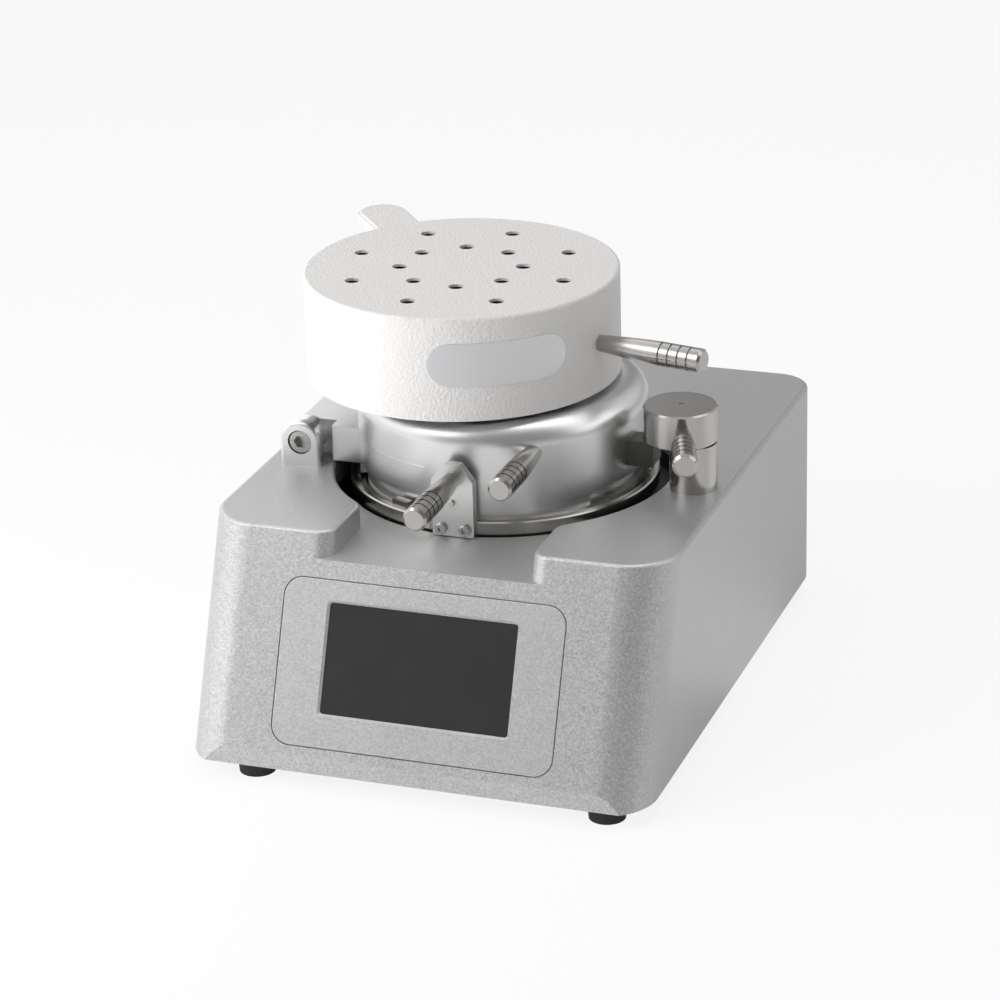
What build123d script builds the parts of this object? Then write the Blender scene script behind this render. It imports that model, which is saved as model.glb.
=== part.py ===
from build123d import *
import math
import os

# Benchtop pressure former for dental foils, 125 mm foil size.
# X runs to the right, Y to the back, Z up; the origin is on the table,
# under the middle of the casing.  Millimetres and degrees.

os.makedirs("parts", exist_ok=True)

# ---------------------------------------------------------------- casing
base_width = 250.0
base_depth = 330.0
cover_height = 116.0
foot_height = 9.0
cover_wall = 2.5
front_corner_radius = 26.0
rear_corner_radius = 20.0
top_edge_round = 2.2
corner_post = 8.0            # solid corner behind the rounding, beside the channel
face_angle = 22.2            # lean of the front face back from upright
band_height = 9.3            # upright band below the leaning face

# ------------------------------------------------- channel and round pit
channel_width = 106.5
channel_depth = 13.0
channel_corner_round = 9.0    # upright corners at the front
recess_corner_round = 10.0    # shoulder corner between channel and pit
pit_radius = 90.5
pit_front = 7.0              # centre of the front arc of the pit, before the middle
floor_gap = 2.0              # clamp ring to the edge of the channel floor
floor_beside = 12.75         # floor beyond the channel walls, into the pit
tray_depth = 14.0            # channel floor down to the underside of the tray
tray_wall = 1.6
tray_floor = 2.3
tray_gap = 0.3

# ------------------------------------------------------ pressure chamber
chamber_x = -4.5             # chamber axis from the middle of the casing
chamber_y = 6.0
chamber_radius = 77.5
chamber_wall = 7.5
chamber_roof = 5.5
chamber_round = 12.5
chamber_lift = 6.5           # channel floor to the lower rim
chamber_height = 52.0
notch_depth = 3.5
notch_height = 9.5
lug_angle = 65.0             # arc of each rim lug between two notches
lug_first = -68.5            # middle of the front lug
lug_count = 3
notch_round = 5.0            # upper corners of each notch
seam_height = 25.8           # shallow groove above the rim, on the left
seam_depth = 0.3
seam_width = 0.4
seam_start = -165.0
seam_arc = 62.0

# ------------------------------------------------------------ clamp ring
ring_radius = 83.0
ring_wall = 3.6
ring_height = 7.8
ring_bore = 66.0
ring_bevel_foot = 74.5        # inner bevel, from here on the flange up to the wall
ring_flange = 3.3
ring_lift = 0.3              # table seal to the underside of the ring
ring_lug_width = 10.0
ring_lug_height = 3.6
ring_lug_reach = 3.4
ring_lug_first = -114.0

# ------------------------------------------------------- turned handles
handle_length = 55.0
heater_handle_length = 61.0
lever_length = 44.0
handle_root_radius = 4.3
handle_tip_radius = 6.4
handle_bulge = 0.25          # middle of the neck outside a straight cone
grip_length = 25.0
groove_count = 4
groove_pitch = 5.55
groove_width = 1.0
groove_depth = 0.9
groove_from_tip = 7.1
handle_tip_chamfer = 1.3
handle_stud_radius = 2.5
handle_stud_length = 5.0

# ------------------------------------------- plates of the ring's handle
plate_width = 22.5
plate_height = 39.5
plate_thickness = 2.5
plate_gap = 0.4
plate_chamfer_x = 7.0
plate_chamfer_z = 9.2
plate_offset = 2.0           # plates and handle from the chamber axis
plate_screw_spacing = 13.0
plate_screw_height = 4.0
plate_screw_head = 3.1
plate_screw_head_height = 2.0
plate_screw_socket = 2.6
plate_screw_radius = 1.5
plate_screw_grip = 2.0
stop_pin_radius = 1.5
stop_pin_height = 18.5
ring_handle_height = 31.0

chamber_handle_offset = 39.0
chamber_handle_height = 35.8     # above the chamber's lower rim
chamber_handle_sink = 3.5

# ----------------------------------------------------------------- hinge
hinge_offset = 99.4          # hinge axis from the chamber axis
hinge_height = 13.2          # above the shoulders
knuckle_radius = 9.3
bracket_radius = 11.2
bracket_round = 1.5
bracket_thickness = 7.0
bracket_spacing = 77.4       # clear length between the two brackets
hinge_side_gap = 0.3
hinge_pin_radius = 4.0
pin_fit = 0.05
bush_radius = 6.0
bush_length = 14.0
pin_head_radius = 6.4
pin_head_depth = 4.5
pin_head_fit = 0.3
hex_socket_flats = 6.2
hex_socket_depth = 4.2
pin_end = 6.0                # pin beyond the rear bracket
hinge_nut_flats = 13.0
hinge_nut_height = 5.0
arm_reach = 11.0             # hinge axis to the seam between arm and block
arm_set_back = 8.5           # arm behind the front face of the block, and the same at the rear
block_inner = 14.8           # hinge axis to the near face of the block
block_inset = 1.5            # knuckle's end to the end of the block
block_top = 7.8
block_bottom = 11.8
block_round = 0.8
lap_reach = 17.6             # lower half of the arm, under the block
lap_top = 2.0                # below the hinge axis
arm_screw_radius = 1.25
arm_screw_head_radius = 2.0
arm_screw_head_height = 2.0
arm_screw_grip = 7.0
arm_screw_out = 14.4         # hinge axis to the screws
arm_screw_spacing = 20.0

# ----------------------------------------------------------------- latch
lock_from_side = 19.0
lock_y = -12.0
post_radius = 12.5
post_height = 25.4
cap_radius = 19.5
cap_height = 19.0
cap_offset = 7.0             # eccentric throw of the cap towards the chamber
cap_direction = 172.0
cap_gap = 0.4
cap_edge = 0.8
cap_dimple_radius = 2.2
cap_dimple_depth = 0.3
spindle_radius = 5.0
spindle_fit = 0.05
spindle_hole_gap = 0.3
spindle_in_cap = 12.0
spindle_below_nut = 2.0
lock_nut_flats = 17.0
lock_nut_height = 8.0
lever_angle = -71.4
lever_height = 9.2           # above the underside of the cap
catch_front = -14.0
catch_depth = 14.0
catch_width = 14.0
catch_height = 14.0
catch_clearance = 3.0        # catch block to the underside of the cap
catch_round = 1.6
catch_ramp_length = 5.0      # ramp on the outer top edge
catch_ramp_drop = 2.2

# ---------------------------------------------------------------- heater
heater_x = -25.5
heater_y = 5.0
heater_radius = 83.5
heater_height = 55.5
heater_wall = 1.5
heater_gap = 3.0             # chamber roof to the heater
heater_lip = 7.0
heater_edge_round = 1.6
vent_radius = 4.05
vent_outer_circle = 59.8
vent_inner_circle = 32.6
vent_count = 8
vent_phase = 14.9
column_from_side = 14.0
column_from_rear = 54.5
column_radius = 10.0
spigot_radius = 7.0
spigot_height = 10.3
spigot_fit = 0.05
spigot_end_gap = 0.1
column_gap = 0.3
arm_width = 26.8
arm_thickness = 2.8
arm_hub_radius = 10.4
arm_hub_depth = 9.2          # hub below the plate of the arm
arm_cover_thickness = 1.2
arm_cover_inset = 1.2
arm_below_top = 9.0          # heater's top face to the top of the arm cover
heater_handle_angle = -12.0
heater_handle_drop = 29.0    # heater's top face down to the handle
label_middle = -57.1
label_width = 73.0
label_corner = 11.4
label_height = 23.2
label_drop = 25.0            # heater's top face down to the label's middle
label_thickness = 0.4
reflector_depth = 32.0       # heater's top face down to the reflector
reflector_thickness = 1.5
reflector_skirt = 10.0
reflector_skirt_wall = 1.0
insulation_thickness = 14.0
element_width = 9.0
element_height = 5.0
element_outer_ring = 56.0
element_inner_ring = 30.0
element_drop = 9.0
element_stud_radius = 1.8
guard_thickness = 1.8
guard_bar = 2.0
guard_bars = 4
guard_rings = (24.0, 42.0, 60.0)

# --------------------------------------------------------------- display
bezel_width = 151.5
bezel_height = 86.0
bezel_corner = 10.0
bezel_up = 48.3              # middle of the bezel above the front band
bezel_gap = 0.45
bezel_flange = 4.0
bezel_flange_thickness = 1.5
window_width = 100.5
window_height = 56.3
window_up = 3.1              # window above the middle of the bezel
window_corner = 1.2
window_bevel = 1.6
glass_recess = 1.2
glass_thickness = 1.5
glass_margin = 3.5
module_thickness = 8.0

# ------------------------------------------------ base plate and its feet
plate_gap_to_cover = 0.4
base_plate_thickness = 2.0
foot_radius = 10.3
foot_taper = 0.8
feet_spacing_x = 190.0
feet_shift_x = 6.2
feet_from_front = 14.6
feet_from_rear = 25.0
screw_radius = 2.0
screw_head_radius = 3.6
screw_head_height = 1.6
screw_length = 8.0
foot_counterbore = 4.5
foot_web = 4.0
boss_radius = 5.5
boss_height = 16.0
boss_from_front = 60.0
boss_from_rear = 47.0
boss_in_wall = 1.0

# ------------------------------------------ load plate, table, model cup
load_plate_thickness = 10.0
load_plate_side_gap = 1.5
load_plate_front = -85.0
load_plate_to_panel = 12.0
load_plate_corner = 6.0
pillar_radius = 8.0
pillar_from_side = 27.0
pillar_front_y = -66.0
pillar_rear_y = 84.0
spacer_width = 12.0
load_bolt_radius = 2.5
load_bolt_head_radius = 4.2
load_bolt_head_height = 4.0
load_bolt_grip = 6.0
lock_bolt_radius = 2.0
lock_bolt_head_radius = 3.3
lock_bolt_circle = 9.0
table_radius = 80.0
table_top_below_floor = 1.4
seal_inner = 67.0
seal_outer = 76.0
seal_height = 0.8
cup_radius = 49.5
cup_wall = 2.5
cup_depth = 42.0
cup_flange = 7.0
cup_flange_thickness = 2.6
cup_clearance = 0.4
gasket_inner = 70.0

# ------------------------------------------------- rear service recess
recess_width = 168.0
recess_height = 56.0
recess_depth = 25.0
recess_bottom = 27.0
panel_thickness = 1.5
panel_flange = 8.0
inlet_from_edge = 26.0
inlet_flange_thickness = 2.5
inlet_flange_corner = 3.0
inlet_width = 28.0
inlet_height = 20.0
inlet_flange_width = 50.0
inlet_flange_height = 24.0
inlet_body_depth = 19.0
inlet_wall = 1.8
inlet_pin_radius = 1.6
inlet_pin_spacing = 7.0
inlet_pin_short = 8.0
panel_screw_length = 6.0
switch_from_inlet = 46.0
switch_flange_thickness = 1.6
switch_width = 19.0
switch_height = 27.0
switch_flange = 2.0
switch_depth = 14.0
switch_wall = 1.4
rocker_gap = 0.4
rocker_tilt = 7.0
rocker_bulge = 3.2
trunnion_radius = 1.5
trunnion_length = 1.1
silencer_from_edge = 22.0
fitting_spacing = 30.0
fitting_hexagon = 14.0
fitting_height = 55.0
fitting_thread_radius = 5.0
fitting_tail = 10.0
push_in_radius = 3.05
push_in_depth = 13.0
push_in_reach = 17.0
push_in_collar = 6.4

# ------------------------------------------------- inside the casing
supply_x = -48.0
supply_from_panel = 26.0
supply_width = 62.0
supply_length = 96.0
supply_height = 34.0
board_x = 52.0
board_from_panel = 32.0
board_width = 70.0
board_length = 84.0
board_thickness = 1.6
relay_spacing = 30.0
relay_width = 16.0
relay_length = 24.0
relay_height = 14.0
terminal_length = 40.0
terminal_width = 8.0
terminal_height = 9.0
terminal_inset = 8.0
standoff_height = 8.0
standoff_radius = 3.0
standoff_inset = 5.0
valve_x = 62.0
valve_y = -25.0
valve_width = 20.0
valve_length = 44.0
valve_height = 16.0
coil_radius = 8.5
coil_height = 18.0
tail_length = 8.0
hose_level = 8.0             # hoses above the base plate
valve_pitch = 24.0
regulator_x = 10.0
regulator_y = -86.0
regulator_radius = 16.0
regulator_height = 22.0
regulator_knob_radius = 13.0
regulator_knob_height = 20.0
hose_radius = 3.0

# ------------------------------------------------------ derived heights
z_bottom = foot_height
z_top = z_bottom + cover_height
z_floor = z_top - channel_depth
z_tray = z_floor - tray_depth
z_load = z_tray - load_plate_thickness
z_plate_top = z_bottom + base_plate_thickness
z_table = z_floor - table_top_below_floor
z_ring = z_table + seal_height + ring_lift
z_rim = z_floor + chamber_lift
z_roof = z_rim + chamber_height
z_hinge = z_top + hinge_height
z_cap = z_top + post_height + cap_gap
z_heater = z_roof + heater_gap
z_heater_top = z_heater + heater_height
z_arm_top = z_heater_top - arm_below_top
z_arm = z_arm_top - arm_cover_thickness - arm_thickness
z_hub = z_arm - arm_hub_depth
y_front = -base_depth / 2
y_rear = base_depth / 2
z_face = z_bottom + band_height
x_hinge = chamber_x - hinge_offset
y_bracket = bracket_spacing / 2
block_half = y_bracket - hinge_side_gap - block_inset
arm_half = block_half - arm_set_back
y_panel = y_rear - recess_depth
z_recess = recess_bottom + recess_height / 2
lock_x = base_width / 2 - lock_from_side
pillar_x = base_width / 2 - pillar_from_side
column_x = column_from_side - base_width / 2
column_y = y_rear - column_from_rear
feet_rows = (y_front + feet_from_front, y_rear - feet_from_rear)
boss_rows = (y_front + boss_from_front, 0.0, y_rear - boss_from_rear)
x_boss = base_width / 2 - cover_wall - boss_radius + boss_in_wall
inlet_x = inlet_from_edge - recess_width / 2
switch_x = inlet_x + switch_from_inlet
silencer_x = recess_width / 2 - silencer_from_edge
air_inlet_x = silencer_x - fitting_spacing
supply_y = y_panel - supply_from_panel - supply_length / 2
board_y = y_panel - board_from_panel - board_length / 2

face_rise = math.tan(math.radians(face_angle))
face_cos = math.cos(math.radians(face_angle))
face_sin = math.sin(math.radians(face_angle))
face_plane = Plane(
    origin=(0, y_front, z_face),
    x_dir=(1, 0, 0),
    z_dir=(0, -face_cos, face_sin),
)
chamber_axis = Pos(chamber_x, chamber_y, 0)
heater_axis = Pos(heater_x, heater_y, 0)

parts = {}


# ------------------------------------------------------- shape helpers
def disc(radius, height, z=0.0):
    """Upright cylinder with its lower face at height z."""
    return Pos(0, 0, z) * Cylinder(radius, height, align=(Align.CENTER, Align.CENTER, Align.MIN))


def tube(outer, inner, height, z=0.0):
    return disc(outer, height, z) - disc(inner, height, z)


def block(x0, x1, y0, y1, z0, z1):
    size = Box(x1 - x0, y1 - y0, z1 - z0)
    return Pos((x0 + x1) / 2, (y0 + y1) / 2, (z0 + z1) / 2) * size


def rod_y(radius, y0, y1, x=0.0, z=0.0):
    """Cylinder along Y between two Y values."""
    turned = Rot(-90, 0, 0) * disc(radius, y1 - y0)
    return Pos(x, y0, z) * turned


def sector(radius, start, arc, height, z=0.0):
    """Pie slice of the given radius, from a start angle through an arc, at most 180 degrees."""
    reach = 2 * radius
    steps = [start + arc * share for share in (0.0, 0.5, 1.0)]
    rim = [(reach * math.cos(math.radians(a)), reach * math.sin(math.radians(a))) for a in steps]
    outline = make_face(Polyline((0, 0), *rim, close=True))
    return extrude(Pos(0, 0, z) * outline, height) & disc(radius, height, z)


def round_vertical(shape, radius):
    return fillet(shape.edges().filter_by(Axis.Z), radius)


def hexagon_prism(flats, height, z=0.0):
    outline = RegularPolygon(flats / 2, 6, major_radius=False)
    return extrude(Pos(0, 0, z) * outline, height)


def cap_screw(radius, length, head_radius, head_height, socket):
    """Socket screw along Z: the head on top of z = 0, the shank below it."""
    shank = disc(radius, length, -length)
    head = disc(head_radius, head_height)
    head = chamfer(head.edges().group_by(Axis.Z)[-1], head_height * 0.2)
    return shank + head - hexagon_prism(socket, head_height * 0.6, head_height * 0.45)


def turned_handle(length):
    """Turned handle along +X: neck swelling from x = 0, straight grooved grip, chamfered tip."""
    neck = length - grip_length
    root = Polyline(
        (-handle_stud_length, 0),
        (-handle_stud_length, handle_stud_radius),
        (0, handle_stud_radius),
        (0, handle_root_radius),
    )
    middle = (handle_root_radius + handle_tip_radius) / 2 + handle_bulge
    swell = Spline((0, handle_root_radius), (neck / 2, middle), (neck, handle_tip_radius))
    grip = Polyline(
        (neck, handle_tip_radius),
        (length - handle_tip_chamfer, handle_tip_radius),
        (length, handle_tip_radius - handle_tip_chamfer),
        (length, 0),
        (-handle_stud_length, 0),
    )
    body = revolve(make_face(root + swell + grip), Axis.X, 360)
    for index in range(groove_count):
        middle = length - groove_from_tip - index * groove_pitch
        ring = tube(handle_tip_radius + 1, handle_tip_radius - groove_depth, groove_width, -groove_width / 2)
        body -= Pos(middle, 0, 0) * Rot(0, 90, 0) * ring
    return body


def placed_handle(length, x, y, z, angle):
    return Pos(x, y, z) * Rot(0, 0, angle) * turned_handle(length)


def polar(radius, angle):
    return radius * math.cos(math.radians(angle)), radius * math.sin(math.radians(angle))


# -------------------------------------------------------------- casing
def casing_block(inset, low, high):
    """Casing shape, inset all round: leaning front, upright band, round corners."""
    lean = inset / face_cos
    y_low = y_front + lean + (low - z_face) * face_rise
    y_high = y_front + lean + (high - z_face) * face_rise
    outline = Polyline(
        (y_low, low), (y_rear - inset, low), (y_rear - inset, high), (y_high, high), close=True
    )
    half = base_width / 2 - inset
    body = extrude(Plane.YZ * make_face(outline), half, both=True)
    rising = [e for e in body.edges() if abs((e % 0.5).Z) > 0.5]
    front = [e for e in rising if (e @ 0.5).Y < 0]
    rear = [e for e in rising if (e @ 0.5).Y > 0]
    body = fillet(front, front_corner_radius - inset)
    rear = [e for e in body.edges().filter_by(Axis.Z) if (e @ 0.5).Y > y_rear - inset - 0.1]
    body = fillet(rear, rear_corner_radius - inset)
    keep = block(-base_width, base_width, y_front + inset, base_depth, low - 1, high + 1)
    return body & keep


def pit_outline(radius):
    """Oval of two arcs with straight flanks: the pit as seen from above."""
    front = Pos(0, -pit_front) * Circle(radius)
    rear = Pos(0, chamber_y) * Circle(radius)
    flanks = Pos(0, (chamber_y - pit_front) / 2) * Rectangle(2 * radius, chamber_y + pit_front)
    return front + rear + flanks


def pit_oval(radius, height, z):
    return extrude(Pos(0, 0, z) * pit_outline(radius), height)


def channel_block(grow, low):
    half = channel_width / 2 + grow
    return block(-half, half, y_front - 50, 0, low, z_top + 50)


def recess(grow, low):
    """Channel and pit as one hole, with the shoulder corners between them rounded."""
    half = channel_width / 2 + grow
    length = base_depth / 2 + 50
    channel = Pos(0, -length / 2) * Rectangle(2 * half, length)
    outline = channel + pit_outline(pit_radius + grow)
    corners = [v for v in outline.vertices() if abs(abs(v.X) - half) < 0.01 and v.Y > y_front]
    outline = fillet(corners, recess_corner_round - grow)
    return extrude(Pos(0, 0, low) * outline, z_top + 50 - low)


def make_base_cover():
    outer = casing_block(0, z_bottom, z_top)
    outer -= recess(0, z_floor)
    corners = [
        e
        for e in outer.edges()
        if abs(abs((e @ 0.5).X) - channel_width / 2) < 0.01
        and abs((e % 0.5).Z) > 0.5
        and (e @ 0.5).Y < -channel_width
    ]
    outer = fillet(corners, channel_corner_round)
    rim = outer.faces().filter_by(Axis.Z).group_by(Axis.Z)[-1].edges()
    outer = fillet(rim, top_edge_round)

    pit_height = z_top - z_tray + 50
    below_floor = pit_oval(pit_radius, pit_height, z_tray) - channel_block(floor_beside, z_tray - 1)
    floor_hole = chamber_axis * disc(ring_radius + floor_gap, pit_height, z_tray)
    outer -= below_floor + floor_hole

    cavity = casing_block(cover_wall, z_bottom - 1, z_top - cover_wall)
    cavity -= recess(cover_wall, z_floor - cover_wall)
    half = channel_width / 2
    y_corner = y_front + (z_top - z_face) * face_rise + channel_corner_round + corner_post
    for side in (-1, 1):
        x0, x1 = sorted((side * half, side * (half + corner_post)))
        cavity -= block(x0, x1, y_front, y_corner, z_floor - cover_wall, z_top)
    cover = outer - cavity

    for y in boss_rows:
        for side in (-1, 1):
            boss = Pos(side * x_boss, y, 0) * disc(boss_radius, boss_height, z_plate_top)
            bore = Pos(side * x_boss, y, 0) * disc(screw_radius, screw_length, z_plate_top)
            cover = cover + boss - bore

    opening = face_plane * Pos(0, bezel_up, 0) * rounded_plate(
        bezel_width + 2 * bezel_gap, bezel_height + 2 * bezel_gap, 4 * cover_wall,
        bezel_corner + bezel_gap, -3 * cover_wall,
    )
    cover -= opening
    mouth = Box(recess_width, 4 * cover_wall, recess_height)
    cover -= Pos(0, y_rear - cover_wall, z_recess) * mouth
    for x, y in bracket_bolt_places():
        cover -= Pos(x, y, 0) * disc(load_bolt_radius, 2 * channel_depth, z_floor)
    shaft_hole = disc(spindle_radius + spindle_hole_gap, 2 * channel_depth, z_floor)
    cover -= Pos(lock_x, lock_y, 0) * shaft_hole
    for x, y in lock_bolt_places():
        cover -= Pos(x, y, 0) * disc(lock_bolt_radius, 2 * channel_depth, z_floor)
    column_hole = disc(column_radius + 0.3, 2 * channel_depth, z_floor)
    cover -= Pos(column_x, column_y, 0) * column_hole
    return cover


def rounded_plate(width, height, thickness, corner, z):
    """Plate in the XY plane with rounded corners, its back face at z."""
    return extrude(Pos(0, 0, z) * RectangleRounded(width, height, corner), thickness)


def bracket_bolt_places():
    spread = bracket_radius * 0.62
    middle = y_bracket + bracket_thickness / 2
    return [
        (x_hinge + sx * spread, chamber_y + sy * middle) for sx in (-1, 1) for sy in (-1, 1)
    ]


def lock_bolt_places():
    spots = [polar(lock_bolt_circle, angle) for angle in (30, 150, 270)]
    return [(lock_x + dx, lock_y + dy) for dx, dy in spots]


parts["base_cover"] = make_base_cover()


# ---------------------------------------------------------- base plate
def plate_screw_places():
    return [(side * x_boss, y) for side in (-1, 1) for y in boss_rows]


def foot_places():
    half = feet_spacing_x / 2
    return [
        (feet_shift_x + side * half, y) for side in (-1, 1) for y in feet_rows
    ]


def pillar_places():
    return [(side * pillar_x, y) for side in (-1, 1) for y in (pillar_front_y, pillar_rear_y)]


def make_base_plate():
    plate = casing_block(cover_wall + plate_gap_to_cover, z_bottom, z_top)
    plate &= block(-base_width, base_width, -base_depth, base_depth, z_bottom, z_plate_top)
    for x, y in plate_screw_places() + foot_places() + pillar_places() + standoff_places():
        plate -= Pos(x, y, 0) * disc(screw_radius, 3 * base_plate_thickness, z_bottom - 2)
    return plate


def standoff_places():
    dx = board_width / 2 - standoff_inset
    dy = board_length / 2 - standoff_inset
    return [(board_x + sx * dx, board_y + sy * dy) for sx in (-1, 1) for sy in (-1, 1)]


def make_feet():
    foot = Cone(
        foot_radius - foot_taper, foot_radius, foot_height,
        align=(Align.CENTER, Align.CENTER, Align.MIN),
    )
    foot -= disc(foot_counterbore, foot_height - foot_web)
    foot -= disc(screw_radius, foot_height)
    return Compound([Pos(x, y, 0) * foot for x, y in foot_places()])


def make_base_screws():
    """Screws up through the base plate: into the cover, the feet and the pillars."""
    screw = Rot(180, 0, 0) * cap_screw(
        screw_radius, screw_length, screw_head_radius, screw_head_height, screw_radius
    )
    low = [Pos(x, y, z_bottom) * screw for x, y in plate_screw_places() + pillar_places()]
    feet = [Pos(x, y, foot_height - foot_web) * screw for x, y in foot_places()]
    return Compound(low + feet)


parts["base_plate"] = make_base_plate()
parts["rubber_feet"] = make_feet()
parts["base_screws"] = make_base_screws()


# ------------------------------------------- load plate and its pillars
def make_load_plate():
    half = base_width / 2 - cover_wall - load_plate_side_gap
    plate = block(-half, half, load_plate_front, y_panel - load_plate_to_panel, z_load, z_tray)
    plate = round_vertical(plate, load_plate_corner)
    plate -= chamber_axis * disc(cup_radius + cup_clearance, 40, z_load - 20)
    plate -= Pos(lock_x, lock_y, 0) * disc(spindle_radius + spindle_hole_gap, 40, z_load - 20)
    for x, y in bracket_bolt_places() + [(column_x, column_y)]:
        plate -= Pos(x, y, z_load) * bolt_void(load_bolt_radius, load_bolt_head_radius)
    for x, y in lock_bolt_places():
        plate -= Pos(x, y, z_load) * bolt_void(lock_bolt_radius, lock_bolt_head_radius)
    return plate


def bolt_void(radius, head_radius):
    """Hole for a bolt from below, with its head sunk in the load plate."""
    return disc(radius, 40) + disc(head_radius + 0.3, 2 * load_bolt_head_height, -load_bolt_head_height)


def make_pillars():
    pillar = disc(pillar_radius, z_load - z_plate_top, z_plate_top)
    pillar -= disc(screw_radius, screw_length, z_plate_top)
    return Compound([Pos(x, y, 0) * pillar for x, y in pillar_places()])


def make_spacers():
    """Solid packing between the load plate and the shoulders, round the bolts."""
    height = z_top - cover_wall - z_tray
    half = bracket_radius
    pieces = []
    for side in (-1, 1):
        middle = chamber_y + side * (y_bracket + bracket_thickness / 2)
        pad = block(
            x_hinge - half, x_hinge + half, middle - spacer_width / 2,
            middle + spacer_width / 2, z_tray, z_tray + height,
        )
        for x, y in bracket_bolt_places():
            pad -= Pos(x, y, 0) * disc(load_bolt_radius, height, z_tray)
        pieces.append(pad)
    post_pad = Pos(lock_x, lock_y, 0) * tube(post_radius, spindle_radius + spindle_hole_gap, height, z_tray)
    for x, y in lock_bolt_places():
        post_pad -= Pos(x, y, 0) * disc(lock_bolt_radius, height, z_tray)
    pieces.append(post_pad)
    return Compound(pieces)


def load_bolt(radius, head_radius, top):
    """Socket bolt with its head sunk in the load plate and its end at the given height."""
    seat = z_load + load_bolt_head_height
    bolt = cap_screw(radius, top - seat, head_radius, load_bolt_head_height, radius * 1.6)
    return Pos(0, 0, seat) * Rot(180, 0, 0) * bolt


def make_load_bolts():
    top = z_top + load_bolt_grip
    long_bolt = load_bolt(load_bolt_radius, load_bolt_head_radius, top)
    lock_bolt = load_bolt(lock_bolt_radius, lock_bolt_head_radius, top)
    short_bolt = load_bolt(load_bolt_radius, load_bolt_head_radius, z_tray + load_bolt_grip)
    bolts = [Pos(x, y, 0) * long_bolt for x, y in bracket_bolt_places()]
    bolts += [Pos(x, y, 0) * lock_bolt for x, y in lock_bolt_places()]
    bolts.append(Pos(column_x, column_y, 0) * short_bolt)
    return Compound(bolts)


parts["load_plate"] = make_load_plate()
parts["load_pillars"] = make_pillars()
parts["load_spacers"] = make_spacers()
parts["load_bolts"] = make_load_bolts()


# ----------------------------------------------- tray, table, model cup
def make_pit_tray():
    """Shallow dish under the pit; its wall ends below the collar and the channel floor."""
    height = z_floor - cover_wall - tray_gap - z_tray
    outer = pit_oval(pit_radius + tray_wall, height, z_tray)
    inner = pit_oval(pit_radius, height, z_tray + tray_floor)
    tray = outer - inner
    return tray - chamber_axis * disc(cup_radius + cup_clearance, 20, z_tray - 5)


def make_press_table():
    bottom = z_tray + tray_floor
    table = disc(table_radius, z_table - bottom, bottom)
    table = chamfer(table.edges().group_by(Axis.Z)[-1], 0.8)
    table -= disc(cup_radius + cup_clearance, 40, bottom - 5)
    seat = cup_radius + cup_flange + cup_clearance
    table -= disc(seat, 20, z_table - cup_flange_thickness)
    return chamber_axis * table


def make_model_cup():
    top = z_table
    outer = disc(cup_radius, cup_depth, top - cup_depth)
    flange = disc(cup_radius + cup_flange, cup_flange_thickness, top - cup_flange_thickness)
    hollow = disc(cup_radius - cup_wall, cup_depth, top - cup_depth + cup_wall)
    return chamber_axis * (outer + flange - hollow)


parts["pit_tray"] = make_pit_tray()
parts["press_table"] = make_press_table()
parts["model_cup"] = make_model_cup()
parts["table_seal"] = chamber_axis * tube(seal_outer, seal_inner, seal_height, z_table)


# --------------------------------------------------------------- display
def on_face(shape, up=0.0):
    return face_plane * Pos(0, bezel_up + up, 0) * shape


def make_bezel():
    front = rounded_plate(bezel_width, bezel_height, cover_wall, bezel_corner, -cover_wall)
    front = fillet(front.faces().sort_by(Axis.Z)[-1].edges(), 0.4)
    flange = rounded_plate(
        bezel_width + 2 * bezel_flange, bezel_height + 2 * bezel_flange,
        bezel_flange_thickness, bezel_corner, -cover_wall - bezel_flange_thickness,
    )
    body = front + flange
    window = rounded_plate(window_width, window_height, 20, window_corner, -10)
    pocket = rounded_plate(
        window_width + 2 * glass_margin, window_height + 2 * glass_margin,
        20, window_corner, -20 - glass_recess,
    )
    bevel = loft(
        [
            Pos(0, 0, -window_bevel) * RectangleRounded(window_width, window_height, window_corner),
            RectangleRounded(
                window_width + 2 * window_bevel, window_height + 2 * window_bevel,
                window_corner + window_bevel,
            ),
        ]
    )
    body -= Pos(0, window_up, 0) * (window + pocket + bevel)
    return on_face(body)


def make_glass():
    pane = rounded_plate(
        window_width + 2 * glass_margin, window_height + 2 * glass_margin,
        glass_thickness, window_corner, -glass_recess - glass_thickness,
    )
    return on_face(pane, window_up)


def make_display_module():
    back = -glass_recess - glass_thickness - module_thickness
    case = rounded_plate(
        window_width + glass_margin, window_height + glass_margin, module_thickness, 1, back
    )
    ribbon = Pos(0, -window_height / 2, back) * Box(24, 10, 2, align=(Align.CENTER, Align.MIN, Align.MAX))
    return on_face(case + ribbon, window_up)


parts["display_bezel"] = make_bezel()
parts["display_glass"] = make_glass()
parts["display_module"] = make_display_module()


# ----------------------------------------------------------------- hinge
def hinge_rod(radius, y0, y1):
    return rod_y(radius, chamber_y + y0, chamber_y + y1, x_hinge, z_hinge)


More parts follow.
